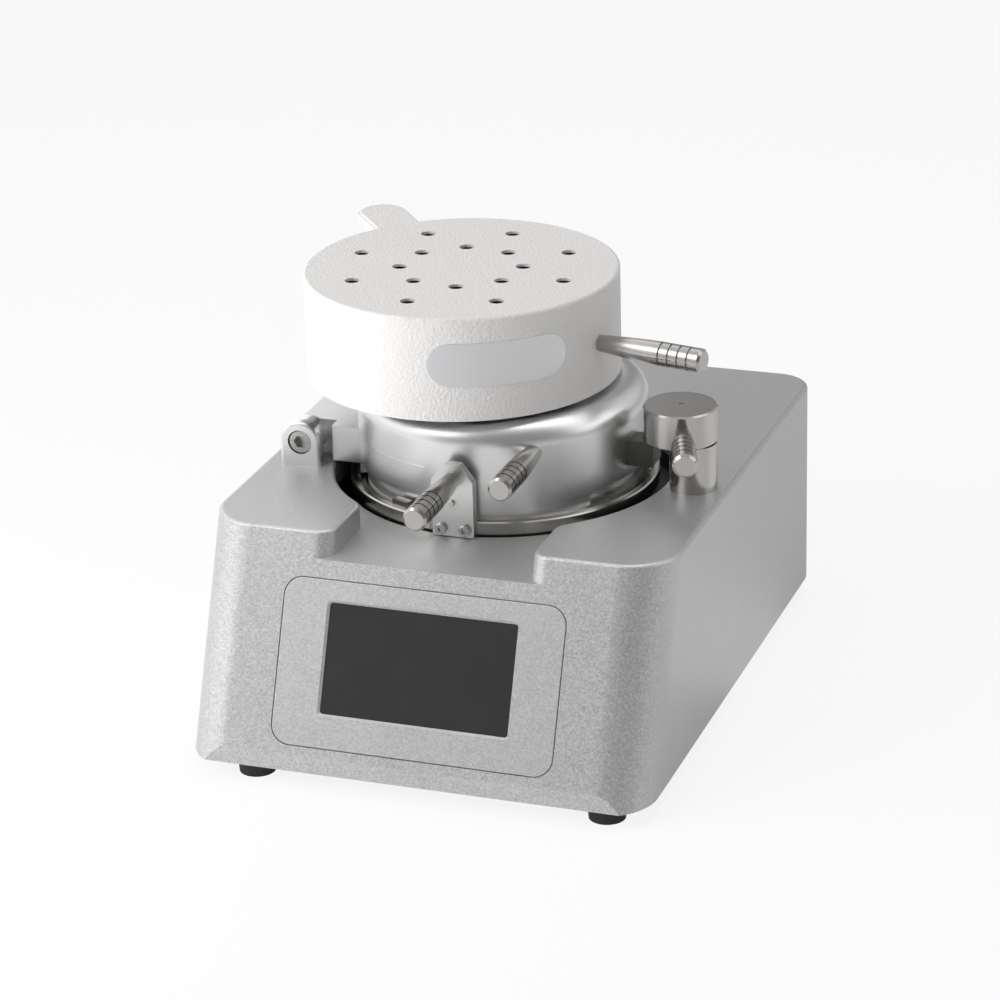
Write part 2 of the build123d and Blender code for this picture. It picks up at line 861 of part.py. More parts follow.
def make_brackets():
    """Two uprights with round heads; the front one takes the bolt head, the rear one the nut."""
    pieces = []
    for side in (-1, 1):
        y0 = min(side * y_bracket, side * (y_bracket + bracket_thickness))
        y1 = y0 + bracket_thickness
        head = hinge_rod(bracket_radius, y0, y1)
        leg = block(
            x_hinge - bracket_radius, x_hinge + bracket_radius,
            chamber_y + y0, chamber_y + y1, z_top, z_hinge,
        )
        bracket = head + leg
        outline = bracket.faces().filter_by(Axis.Y).edges()
        outline = [e for e in outline if (e @ 0.5).Z > z_top + 0.1]
        bracket = fillet(outline, bracket_round)
        bracket -= hinge_rod(hinge_pin_radius, y0 - 1, y1 + 1)
        if side < 0:
            bracket -= hinge_rod(pin_head_radius + pin_head_fit, y0 - 1, y0 + pin_head_depth)
        for x, y in bracket_bolt_places():
            bracket -= Pos(x, y, 0) * disc(load_bolt_radius, load_bolt_grip, z_top)
        pieces.append(bracket)
    return Compound(pieces)


def make_hinge_pin():
    front = -y_bracket - bracket_thickness
    rear = y_bracket + bracket_thickness
    head = hinge_rod(pin_head_radius, front + 0.6, front + pin_head_depth)
    head = chamfer(head.edges().group_by(Axis.Y)[0], 0.5)
    shank = hinge_rod(hinge_pin_radius, front + pin_head_depth, rear + pin_end)
    socket = Rot(-90, 0, 0) * hexagon_prism(hex_socket_flats, hex_socket_depth)
    socket = Pos(x_hinge, chamber_y + front + 0.5, z_hinge) * socket
    return head + shank - socket


def make_hinge_nut():
    rear = y_bracket + bracket_thickness
    nut = Rot(-90, 0, 0) * hexagon_prism(hinge_nut_flats, hinge_nut_height)
    nut = Pos(x_hinge, chamber_y + rear, z_hinge) * nut
    return nut - hinge_rod(hinge_pin_radius, rear - 1, rear + 8)


def make_hinge_arm():
    """Moving knuckle with a flat top; its lower half reaches under the block."""
    half = y_bracket - hinge_side_gap
    y0, y1 = chamber_y - arm_half, chamber_y + arm_half
    top = z_hinge + block_top
    low = z_hinge - block_bottom
    knuckle = hinge_rod(knuckle_radius, -half, half)
    knuckle -= block(x_hinge - knuckle_radius, x_hinge, y0, y1, top, top + knuckle_radius)
    web = block(x_hinge, x_hinge + arm_reach, y0, y1, low, top + knuckle_radius)
    lap = block(x_hinge, x_hinge + lap_reach, y0, y1, low, z_hinge - lap_top)
    arm = knuckle + web + lap
    arm -= block(x_hinge - 1, x_hinge + lap_reach, y0, y1, top, top + 2 * knuckle_radius)
    arm -= hinge_rod(bush_radius, -half - 1, half + 1)
    for place in arm_screw_places():
        arm -= place * disc(arm_screw_radius, block_bottom, low)
        arm -= place * disc(arm_screw_head_radius + 0.2, arm_screw_head_height, low)
    return arm


def arm_screw_places():
    x = x_hinge + arm_screw_out
    return [Pos(x, chamber_y + row * arm_screw_spacing, 0) for row in (-1, 0, 1)]


def make_bushes():
    half = y_bracket - hinge_side_gap
    pieces = []
    for y0 in (-half, half - bush_length):
        sleeve = hinge_rod(bush_radius, y0, y0 + bush_length)
        pieces.append(sleeve - hinge_rod(hinge_pin_radius + pin_fit, y0 - 1, y0 + bush_length + 1))
    return Compound(pieces)


def make_hinge_block():
    low = z_hinge - block_bottom
    top = z_hinge + block_top
    body = block(
        x_hinge + block_inner, chamber_x - chamber_radius * 0.8, chamber_y - block_half,
        chamber_y + block_half, low, top,
    )
    near = body.faces().sort_by(Axis.X)[0]
    body = fillet(near.edges(), block_round)
    y0, y1 = chamber_y - arm_half, chamber_y + arm_half
    body += block(x_hinge + arm_reach, x_hinge + block_inner + block_round, y0, y1, low, top)
    body -= block(x_hinge, x_hinge + lap_reach, y0, y1, low, z_hinge - lap_top)
    body -= chamber_axis * disc(chamber_radius, 60, z_hinge - 30)
    for place in arm_screw_places():
        body -= place * disc(arm_screw_radius, arm_screw_grip, z_hinge - lap_top)
    return body


def make_arm_screws():
    """Screws up through the lower half of the arm into the block, heads sunk underneath."""
    seat = z_hinge - block_bottom + arm_screw_head_height
    length = z_hinge - lap_top + arm_screw_grip - seat
    screw = cap_screw(
        arm_screw_radius, length, arm_screw_head_radius, arm_screw_head_height, arm_screw_radius
    )
    turned = Pos(0, 0, seat) * Rot(180, 0, 0) * screw
    return Compound([place * turned for place in arm_screw_places()])


parts["hinge_brackets"] = make_brackets()
parts["hinge_pin"] = make_hinge_pin()
parts["hinge_nut"] = make_hinge_nut()
parts["hinge_arm"] = make_hinge_arm()
parts["hinge_bushes"] = make_bushes()
parts["hinge_block"] = make_hinge_block()
parts["arm_screws"] = make_arm_screws()


# --------------------------------------------------------------- chamber
def lug_middles():
    return [lug_first + index * 360 / lug_count for index in range(lug_count)]


def chamber_handle_place():
    y = chamber_y - math.sqrt(chamber_radius ** 2 - chamber_handle_offset ** 2)
    return chamber_x + chamber_handle_offset, y, z_rim + chamber_handle_height


def make_chamber_handle():
    x, y, z = chamber_handle_place()
    return placed_handle(handle_length, x, y + chamber_handle_sink, z, -90)


def make_chamber_pot():
    pot = disc(chamber_radius, chamber_height, z_rim)
    pot = fillet(pot.edges().group_by(Axis.Z)[-1], chamber_round)
    hollow = disc(chamber_radius - chamber_wall, chamber_height - chamber_roof, z_rim)
    hollow = fillet(hollow.edges().group_by(Axis.Z)[-1], chamber_round - chamber_wall)
    pot -= hollow
    notch_arc = 360 / lug_count - lug_angle
    shell = tube(chamber_radius + 1, chamber_radius - notch_depth, notch_height, z_rim)
    for middle in lug_middles():
        start = middle + lug_angle / 2
        notch = shell & sector(chamber_radius + 2, start, notch_arc, notch_height, z_rim)
        straight = notch.edges().filter_by(GeomType.LINE)
        ends = [e for e in straight if (e @ 0.5).Z > z_rim + notch_height - 0.1]
        pot -= fillet(ends, notch_round)
    z_seam = z_rim + seam_height
    seam = tube(chamber_radius + 1, chamber_radius - seam_depth, seam_width, z_seam)
    pot -= seam & sector(chamber_radius + 2, seam_start, seam_arc, seam_width, z_seam)
    pot = chamber_axis * pot
    return pot - make_chamber_handle()


def make_catch_block():
    top = z_cap - catch_clearance
    x0 = chamber_x + chamber_radius * 0.9
    x1 = chamber_x + chamber_radius + catch_width - 2.2
    low = top - catch_height
    body = block(x0, x1, catch_front, catch_front + catch_depth, low, top)
    body = fillet(body.edges().filter_by(Axis.Y).sort_by(Axis.Z)[:2], catch_round)
    ramp = Polyline(
        (x1 - catch_ramp_length, top), (x1 + 1, top), (x1 + 1, top - catch_ramp_drop),
        (x1, top - catch_ramp_drop), close=True,
    )
    outline = Plane(origin=(0, catch_front, 0), x_dir=(1, 0, 0), z_dir=(0, -1, 0)) * make_face(ramp)
    body -= extrude(outline, -catch_depth)
    return body - chamber_axis * disc(chamber_radius, 60, top - 40)


parts["chamber_handle"] = make_chamber_handle()
parts["chamber_pot"] = make_chamber_pot()
parts["catch_block"] = make_catch_block()
z_gasket = z_ring + ring_flange + ring_lift
gasket_outer = chamber_radius - notch_depth - 0.3
parts["foil_gasket"] = chamber_axis * tube(gasket_outer, gasket_inner, z_rim - z_gasket, z_gasket)


# ------------------------------------------------------------ clamp ring
y_flat = chamber_y - math.sqrt(ring_radius ** 2 - (plate_width / 2 + plate_offset) ** 2)
y_back_plate = y_flat - plate_thickness
y_front_plate = y_back_plate - plate_gap - plate_thickness
x_plate = chamber_x + plate_offset
z_plates = z_ring + 0.8


def make_clamp_ring():
    bore = ring_radius - ring_wall
    ring = disc(ring_radius, ring_height, z_ring)
    ring = chamfer(ring.edges().group_by(Axis.Z)[-1], 0.7)
    rise = ring_height - ring_flange
    ring -= Pos(0, 0, z_ring + ring_flange) * Cone(
        ring_bevel_foot, bore, rise, align=(Align.CENTER, Align.CENTER, Align.MIN)
    )
    ring -= disc(ring_bore, 20, z_ring - 5)
    z_lug = z_ring + ring_height - 1.5
    for index in range(lug_count):
        r0 = bore - ring_lug_reach
        lug = block(
            r0, bore + 1.2, -ring_lug_width / 2, ring_lug_width / 2,
            z_lug, z_lug + ring_lug_height + 1.5,
        )
        ring += Rot(0, 0, ring_lug_first + index * 360 / lug_count) * lug
    ring = chamber_axis * ring
    ring -= block(-200, 200, chamber_y - 200, y_flat, z_ring - 1, z_ring + 20)
    z_screw = z_plates + plate_screw_height
    for x in screw_columns():
        ring -= rod_y(plate_screw_radius, y_flat - 1, y_flat + plate_screw_grip, x, z_screw)
    return ring


def screw_columns():
    return [x_plate - plate_screw_spacing / 2, x_plate + plate_screw_spacing / 2]


def plate_outline():
    half = plate_width / 2
    shoulder = plate_height - plate_chamfer_z
    top = half - plate_chamfer_x
    return make_face(
        Polyline(
            (-half, 0), (half, 0), (half, shoulder), (top, plate_height),
            (-top, plate_height), (-half, shoulder), close=True,
        )
    )


def make_plates():
    pieces = []
    for y in (y_back_plate, y_front_plate):
        plane = Plane(origin=(x_plate, y + plate_thickness, z_plates), x_dir=(1, 0, 0), z_dir=(0, -1, 0))
        plate = extrude(plane * plate_outline(), plate_thickness)
        for x in screw_columns():
            plate -= rod_y(plate_screw_radius, y - 1, y + 9, x, z_plates + plate_screw_height)
        plate -= rod_y(handle_stud_radius, y - 1, y + 9, x_plate, z_plates + ring_handle_height)
        plate -= rod_y(stop_pin_radius, y - 1, y + 9, x_plate, z_plates + stop_pin_height)
        pieces.append(plate)
    return Compound(pieces)


def plate_screw(length):
    return cap_screw(
        plate_screw_radius, length, plate_screw_head, plate_screw_head_height, plate_screw_socket
    )


def make_plate_screws():
    length = y_flat - y_front_plate + plate_screw_grip
    screw = Rot(90, 0, 0) * plate_screw(length)
    z = z_plates + plate_screw_height
    return Compound([Pos(x, y_front_plate, z) * screw for x in screw_columns()])


def make_stop_pin():
    pin = rod_y(stop_pin_radius, y_front_plate - 1.4, y_flat, x_plate, z_plates + stop_pin_height)
    return chamfer(pin.edges().group_by(Axis.Y)[0], 0.3)


parts["clamp_ring"] = make_clamp_ring()
parts["handle_plates"] = make_plates()
parts["plate_screws"] = make_plate_screws()
parts["stop_pin"] = make_stop_pin()
parts["ring_handle"] = placed_handle(
    handle_length, x_plate, y_front_plate, z_plates + ring_handle_height, -90
)


# ----------------------------------------------------------------- latch
post_place = Pos(lock_x, lock_y, 0)
cap_x = lock_x + polar(cap_offset, cap_direction)[0]
cap_y = lock_y + polar(cap_offset, cap_direction)[1]


def make_lock_post():
    post = tube(post_radius, spindle_radius + spindle_fit, post_height, z_top)
    post = post_place * post
    for x, y in lock_bolt_places():
        post -= Pos(x, y, 0) * disc(lock_bolt_radius, load_bolt_grip, z_top)
    return post


def make_lock_lever():
    dx, dy = polar(cap_radius - 1, lever_angle)
    return placed_handle(lever_length, cap_x + dx, cap_y + dy, z_cap + lever_height, lever_angle)


def make_lock_cap():
    cap = disc(cap_radius, cap_height, z_cap)
    cap = chamfer(cap.edges(), cap_edge)
    cap -= disc(cap_dimple_radius, 2 * cap_dimple_depth, z_cap + cap_height - cap_dimple_depth)
    cap = Pos(cap_x, cap_y, 0) * cap
    cap -= post_place * disc(spindle_radius, spindle_in_cap, z_cap)
    return cap - make_lock_lever()


z_nut = z_load - cap_gap


def make_spindle():
    low = z_nut - lock_nut_height - spindle_below_nut
    return post_place * disc(spindle_radius, z_cap + spindle_in_cap - low, low)


def make_lock_nut():
    nut = hexagon_prism(lock_nut_flats, lock_nut_height, z_nut - lock_nut_height)
    nut -= disc(spindle_radius, 2 * lock_nut_height, z_nut - 1.5 * lock_nut_height)
    return post_place * nut


parts["lock_post"] = make_lock_post()
parts["lock_lever"] = make_lock_lever()
parts["lock_cap"] = make_lock_cap()
parts["lock_spindle"] = make_spindle()
parts["lock_nut"] = make_lock_nut()


# ---------------------------------------------------------------- heater
arm_angle = math.degrees(math.atan2(heater_y - column_y, heater_x - column_x))
arm_length = math.hypot(heater_x - column_x, heater_y - column_y)
arm_place = Pos(column_x, column_y, 0) * Rot(0, 0, arm_angle)


def make_column():
    top = z_hub - column_gap
    column = disc(column_radius, top - z_tray, z_tray)
    column += disc(spigot_radius, spigot_height, top)
    column -= disc(load_bolt_radius, load_bolt_grip, z_tray)
    return Pos(column_x, column_y, 0) * column


def arm_shape(inset, thickness, z):
    half = arm_width / 2 - inset
    bar = disc(half, thickness, z)
    bar += block(0, arm_length - heater_radius + 20, -half, half, z, z + thickness)
    return bar - Pos(arm_length, 0, 0) * disc(heater_radius, thickness + 2, z - 1)


def make_heater_arm():
    arm = arm_shape(0, arm_thickness, z_arm) + disc(arm_hub_radius, arm_hub_depth, z_hub)
    bore_depth = spigot_height - column_gap + spigot_end_gap
    arm -= disc(spigot_radius + spigot_fit, bore_depth, z_hub)
    return arm_place * arm


def make_arm_cover():
    plate = arm_shape(arm_cover_inset, arm_cover_thickness, z_arm + arm_thickness)
    plate = fillet(plate.faces().sort_by(Axis.Z)[-1].edges(), 0.7)
    return arm_place * plate


def heater_handle():
    angle = heater_handle_angle
    dx, dy = polar(heater_radius, angle)
    z = z_heater_top - heater_handle_drop
    return placed_handle(heater_handle_length, heater_x + dx, heater_y + dy, z, angle)


def make_heater_housing():
    shell = disc(heater_radius, heater_height, z_heater)
    shell = fillet(shell.edges().group_by(Axis.Z)[-1], heater_edge_round)
    inside = heater_height - 2 * heater_wall
    shell -= disc(heater_radius - heater_wall, inside, z_heater + heater_wall)
    shell -= disc(heater_radius - heater_lip, 10, z_heater - 5)
    step = 360 / vent_count
    for index in range(vent_count):
        inner = polar(vent_inner_circle, vent_phase + index * step)
        outer = polar(vent_outer_circle, vent_phase + (index + 0.5) * step)
        for x, y in (inner, outer):
            shell -= Pos(x, y, 0) * disc(vent_radius, 10, z_heater_top - 5)
    return heater_axis * shell - heater_handle()


def make_reflector():
    z = z_heater_top - reflector_depth
    outer = heater_radius - heater_wall
    plate = disc(outer, reflector_thickness, z - reflector_thickness)
    skirt = tube(outer, outer - reflector_skirt_wall, reflector_skirt, z - reflector_skirt)
    return heater_axis * (plate + skirt)


def make_element():
    """Two flat heating rings, each hung from the reflector on three studs."""
    z_under = z_heater_top - reflector_depth - reflector_thickness
    z_element = z_under - element_drop - element_height
    stud = disc(element_stud_radius, element_drop, z_element + element_height)
    pieces = []
    for radius in (element_outer_ring, element_inner_ring):
        ring = tube(radius + element_width / 2, radius - element_width / 2, element_height, z_element)
        ring = chamfer(ring.edges(), 1.2)
        for index in range(3):
            ring += Pos(*polar(radius, 30 + index * 120)) * stud
        pieces.append(heater_axis * ring)
    return Compound(pieces)


def make_guard():
    outer = heater_radius - heater_wall - 0.2
    z = z_heater + heater_wall
    guard = tube(outer, outer - 2 * guard_bar, guard_thickness, z)
    for radius in guard_rings:
        guard += tube(radius + guard_bar / 2, radius - guard_bar / 2, guard_thickness, z)
    for index in range(guard_bars):
        bar = block(-outer + 1, outer - 1, -guard_bar / 2, guard_bar / 2, z, z + guard_thickness)
        guard += Rot(0, 0, index * 180 / guard_bars) * bar
    return heater_axis * guard


def make_label():
    """Thin plate with round ends, bent to the housing."""
    low = z_heater_top - label_drop - label_height / 2
    band = tube(heater_radius + label_thickness, heater_radius, label_height, low)
    middle = Plane(
        origin=(0, 0, low + label_height / 2),
        x_dir=(0, 0, 1),
        z_dir=(*polar(1, label_middle), 0),
    )
    outline = middle * RectangleRounded(label_height, label_width, label_corner)
    return heater_axis * (band & extrude(outline, heater_radius + 5))


parts["heater_column"] = make_column()
parts["heater_arm"] = make_heater_arm()
parts["arm_cover"] = make_arm_cover()
parts["heater_housing"] = make_heater_housing()
parts["heater_handle"] = heater_handle()
parts["heater_reflector"] = make_reflector()
parts["heating_element"] = make_element()
parts["heater_guard"] = make_guard()
parts["heater_label"] = make_label()
parts["heater_insulation"] = heater_axis * disc(
    heater_radius - handle_stud_length - 1, insulation_thickness, z_heater_top - reflector_depth
)


# ------------------------------------------------------- rear of the casing
def on_panel(shape, x, z=z_recess):
    """Puts a shape drawn with +Z outwards on the service panel, facing the back."""
    plane = Plane(origin=(x, y_panel, z), x_dir=(-1, 0, 0), z_dir=(0, 1, 0))
    return plane * shape


def make_rear_panel():
    y_inside = y_rear - cover_wall
    grow = panel_thickness
    half_w, half_h = recess_width / 2, recess_height / 2
    pan = block(
        -half_w - grow, half_w + grow, y_panel - grow, y_inside,
        z_recess - half_h - grow, z_recess + half_h + grow,
    )
    flange = block(
        -half_w - panel_flange, half_w + panel_flange, y_inside - grow, y_inside,
        z_recess - half_h - panel_flange, z_recess + half_h + panel_flange,
    )
    hollow = block(-half_w, half_w, y_panel, y_rear, z_recess - half_h, z_recess + half_h)
    panel = pan + flange - hollow
    inlet_cut = Box(inlet_width, inlet_height, 20)
    switch_cut = Box(switch_width, switch_height, 20)
    panel -= on_panel(inlet_cut, inlet_x)
    panel -= on_panel(switch_cut, switch_x)
    for x in (air_inlet_x, silencer_x):
        panel -= on_panel(disc(fitting_thread_radius, 20, -10), x, fitting_height)
    for x in inlet_screw_columns():
        panel -= on_panel(disc(plate_screw_radius, 20, -10), x)
    return panel


def inlet_screw_columns():
    reach = (inlet_width + inlet_flange_width) / 4
    return [inlet_x - reach, inlet_x + reach]


def make_power_inlet():
    flange = rounded_plate(
        inlet_flange_width, inlet_flange_height, inlet_flange_thickness, inlet_flange_corner, 0
    )
    body = Box(inlet_width, inlet_height, inlet_body_depth, align=(Align.CENTER, Align.CENTER, Align.MAX))
    socket = Box(
        inlet_width - 2 * inlet_wall, inlet_height - 2 * inlet_wall, inlet_body_depth,
        align=(Align.CENTER, Align.CENTER, Align.MAX),
    )
    shell = flange + body - Pos(0, 0, inlet_flange_thickness) * socket
    floor = inlet_flange_thickness - inlet_body_depth
    for shift in (-inlet_pin_spacing, 0, inlet_pin_spacing):
        shell += Pos(shift, 0, 0) * disc(inlet_pin_radius, inlet_body_depth - inlet_pin_short, floor)
    for x in inlet_screw_columns():
        shell -= Pos(inlet_x - x, 0, 0) * disc(plate_screw_radius, 10, -5)
    return on_panel(shell, inlet_x)


def make_panel_screws():
    screw = Pos(0, 0, inlet_flange_thickness) * plate_screw(panel_screw_length)
    return Compound([on_panel(screw, x) for x in inlet_screw_columns()])


rocker_length = switch_height - 2 * switch_wall - 2 * rocker_gap
rocker_width = switch_width - 2 * switch_wall - 2 * rocker_gap


def make_switch_housing():
    frame = rounded_plate(
        switch_width + 2 * switch_flange, switch_height + 2 * switch_flange,
        switch_flange_thickness, 1, 0,
    )
    body = Box(switch_width, switch_height, switch_depth, align=(Align.CENTER, Align.CENTER, Align.MAX))
    cavity = Box(
        switch_width - 2 * switch_wall, switch_height - 2 * switch_wall, switch_depth,
        align=(Align.CENTER, Align.CENTER, Align.MAX),
    )
    shell = frame + body - Pos(0, 0, switch_flange_thickness) * cavity
    trunnion_hole = Rot(0, 90, 0) * Cylinder(trunnion_radius + pin_fit, switch_width - 0.6)
    return on_panel(shell - Pos(0, 0, -2) * trunnion_hole, switch_x)


def make_rocker():
    """Rocker with two shallow wings, resting with its lower wing pressed in."""
    half = rocker_length / 2
    outline = Polyline(
        (-half, 0), (-half, rocker_bulge), (0, rocker_bulge - 1.2), (half, rocker_bulge),
        (half, 0), (half * 0.3, -4), (-half * 0.3, -4), close=True,
    )
    body = extrude(Plane.YZ * make_face(outline), rocker_width / 2, both=True)
    pins = Rot(0, 90, 0) * Cylinder(trunnion_radius, rocker_width + 2 * trunnion_length)
    rocker = body + pins
    return on_panel(Pos(0, 0, -2) * Rot(rocker_tilt, 0, 0) * rocker, switch_x)


def make_air_inlet():
    """Push-in fitting for a 6 mm hose: thread through the panel, hexagon and collar outside."""
    body = disc(fitting_thread_radius, 12, -fitting_tail) + hexagon_prism(fitting_hexagon, 5, 0)
    body += disc(push_in_collar, push_in_reach - 5, 5)
    body = chamfer(body.edges().group_by(Axis.Z)[-1], 0.8)
    body -= disc(2.0, 60, -20)
    body -= disc(push_in_radius, push_in_depth, push_in_reach - push_in_depth)
    return on_panel(body, air_inlet_x, fitting_height)


def make_silencer():
    body = disc(fitting_thread_radius, 12, -fitting_tail) + hexagon_prism(fitting_hexagon, 4, 0)
    body += disc(6.0, 16, 4)
    body = fillet(body.edges().group_by(Axis.Z)[-1], 2.0)
    return on_panel(body, silencer_x, fitting_height)


parts["rear_panel"] = make_rear_panel()
parts["rear_panel_screws"] = make_panel_screws()
parts["power_inlet"] = make_power_inlet()
parts["switch_housing"] = make_switch_housing()
parts["switch_rocker"] = make_rocker()
parts["air_inlet_fitting"] = make_air_inlet()
parts["exhaust_silencer"] = make_silencer()


# ------------------------------------------------------ inside the casing
def make_power_supply():
    case = block(
        supply_x - supply_width / 2, supply_x + supply_width / 2,
        supply_y - supply_length / 2, supply_y + supply_length / 2,
        z_plate_top, z_plate_top + supply_height,
    )
    top = z_plate_top + supply_height
    for row in range(5):
        for column in range(7):
            x = supply_x + (row - 2) * 10
            y = supply_y + (column - 3) * 10
            case -= Pos(x, y, 0) * disc(2.5, 1.5, top - 1.5)
    return case


def make_board():
    z = z_plate_top + standoff_height
    board = Pos(board_x, board_y, 0) * rounded_plate(board_width, board_length, board_thickness, 2, z)
    top = z + board_thickness
    for side in (-1, 1):
        relay_x = board_x + side * relay_spacing / 2
        board += block(
            relay_x - relay_width / 2, relay_x + relay_width / 2,
            board_y - relay_length / 2, board_y + relay_length / 2, top, top + relay_height,
        )
        y = board_y + side * (board_length / 2 - terminal_inset)
        board += block(
            board_x - terminal_length / 2, board_x + terminal_length / 2,
            y - terminal_width / 2, y + terminal_width / 2, top, top + terminal_height,
        )
    for x, y in standoff_places():
        board -= Pos(x, y, 0) * disc(screw_radius, 10, z - 4)
    return board


def make_standoffs():
    post = disc(standoff_radius, standoff_height, z_plate_top)
    post += disc(screw_radius, board_thickness, z_plate_top + standoff_height)
    post += disc(standoff_radius, 2, z_plate_top + standoff_height + board_thickness)
    post += disc(screw_radius, base_plate_thickness, z_bottom)
    return Compound([Pos(x, y, 0) * post for x, y in standoff_places()])


def valve_centres():
    return [valve_x - valve_pitch / 2, valve_x + valve_pitch / 2]


def make_valves():
    """Two solenoid valves side by side: block, coil and a hose tail at each end."""
    pieces = []
    for x in valve_centres():
        body = block(
            x - valve_width / 2, x + valve_width / 2, valve_y - valve_length / 2,
            valve_y + valve_length / 2, z_plate_top, z_plate_top + valve_height,
        )
        body += Pos(x, valve_y, 0) * disc(coil_radius, coil_height, z_plate_top + valve_height)
        for side in (-1, 1):
            y0 = valve_y + side * valve_length / 2
            y1 = y0 + side * tail_length
            body += rod_y(hose_radius, min(y0, y1), max(y0, y1), x, z_plate_top + hose_level)
        pieces.append(body)
    return Compound(pieces)


def make_regulator():
    body = disc(regulator_radius, regulator_height, z_plate_top)
    body += disc(regulator_knob_radius, regulator_knob_height, z_plate_top + regulator_height)
    body = Pos(regulator_x, regulator_y, 0) * body
    tail = Rot(0, 90, 0) * disc(hose_radius, regulator_radius + tail_length)
    body += Pos(regulator_x, regulator_y, z_plate_top + hose_level) * tail
    return body


def make_hoses():
    """Hoses: regulator to the first valve, second valve to the air inlet."""
    z = z_plate_top + hose_level
    first, second = valve_centres()
    y_front_tail = valve_y - valve_length / 2 - tail_length
    x_start = regulator_x + regulator_radius + tail_length
    path = FilletPolyline(
        (x_start, regulator_y, z), (first, regulator_y, z), (first, y_front_tail, z), radius=12
    )
    start = Plane(origin=(x_start, regulator_y, z), z_dir=(1, 0, 0))
    hose = sweep(start * Circle(hose_radius), path)
    y_back_tail = valve_y + valve_length / 2 + tail_length
    y_end = y_panel - fitting_tail
    x_lane = (supply_x + supply_width / 2 + board_x - board_width / 2) / 2
    path2 = FilletPolyline(
        (second, y_back_tail, z), (second, y_back_tail + 7, z), (x_lane, y_back_tail + 7, z),
        (x_lane, y_end - 14, z), (air_inlet_x, y_end - 14, z),
        (air_inlet_x, y_end - 14, fitting_height), (air_inlet_x, y_end, fitting_height), radius=6.5,
    )
    start2 = Plane(origin=(second, y_back_tail, z), z_dir=(0, 1, 0))
    rear_hose = sweep(start2 * Circle(hose_radius), path2)
    return Compound([hose, rear_hose])


parts["power_supply"] = make_power_supply()
parts["control_board"] = make_board()
parts["board_standoffs"] = make_standoffs()
parts["solenoid_valves"] = make_valves()
parts["pressure_regulator"] = make_regulator()
parts["air_hoses"] = make_hoses()


for name, shape in parts.items():
    export_step(shape, f"parts/{name}.step")
    print(name, round(shape.volume, 1))
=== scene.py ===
import math

import bpy
import numpy as np
from mathutils import Matrix, Vector


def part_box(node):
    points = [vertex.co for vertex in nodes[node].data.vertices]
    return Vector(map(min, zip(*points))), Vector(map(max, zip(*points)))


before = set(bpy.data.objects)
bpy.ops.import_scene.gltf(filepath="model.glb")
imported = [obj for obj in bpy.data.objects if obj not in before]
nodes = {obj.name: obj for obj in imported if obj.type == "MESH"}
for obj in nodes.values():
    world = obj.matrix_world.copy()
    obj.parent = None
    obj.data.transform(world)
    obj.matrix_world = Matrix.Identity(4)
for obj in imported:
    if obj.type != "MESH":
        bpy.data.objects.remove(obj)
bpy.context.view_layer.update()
print("frame loaded:", len(nodes), "nodes")


# sums on a socket of a material's node tree, written as Python expressions
class Wire:
    def __init__(self, paint, socket):
        self.paint = paint
        self.socket = socket

    def sum(self, operation, *values):
        return self.paint.node("ShaderNodeMath", {"operation": operation}, dict(enumerate(values)))

    def __add__(self, other):
        return self.sum("ADD", self, other)

    def __radd__(self, other):
        return self.sum("ADD", other, self)

    def __sub__(self, other):
        return self.sum("SUBTRACT", self, other)

    def __rsub__(self, other):
        return self.sum("SUBTRACT", other, self)

    def __mul__(self, other):
        return self.sum("MULTIPLY", self, other)

    def __rmul__(self, other):
        return self.sum("MULTIPLY", other, self)

    def __truediv__(self, other):
        return self.sum("DIVIDE", self, other)

    def root(self):
        return self.sum("SQRT", self)

    def atLeast(self, floor):
        return self.sum("MAXIMUM", self, floor)

    def between(self, low, high):
        return self.paint.node(
            "ShaderNodeMapRange", {"interpolation_type": "SMOOTHSTEP"},
            {"Value": self, "From Min": low, "From Max": high},
        )


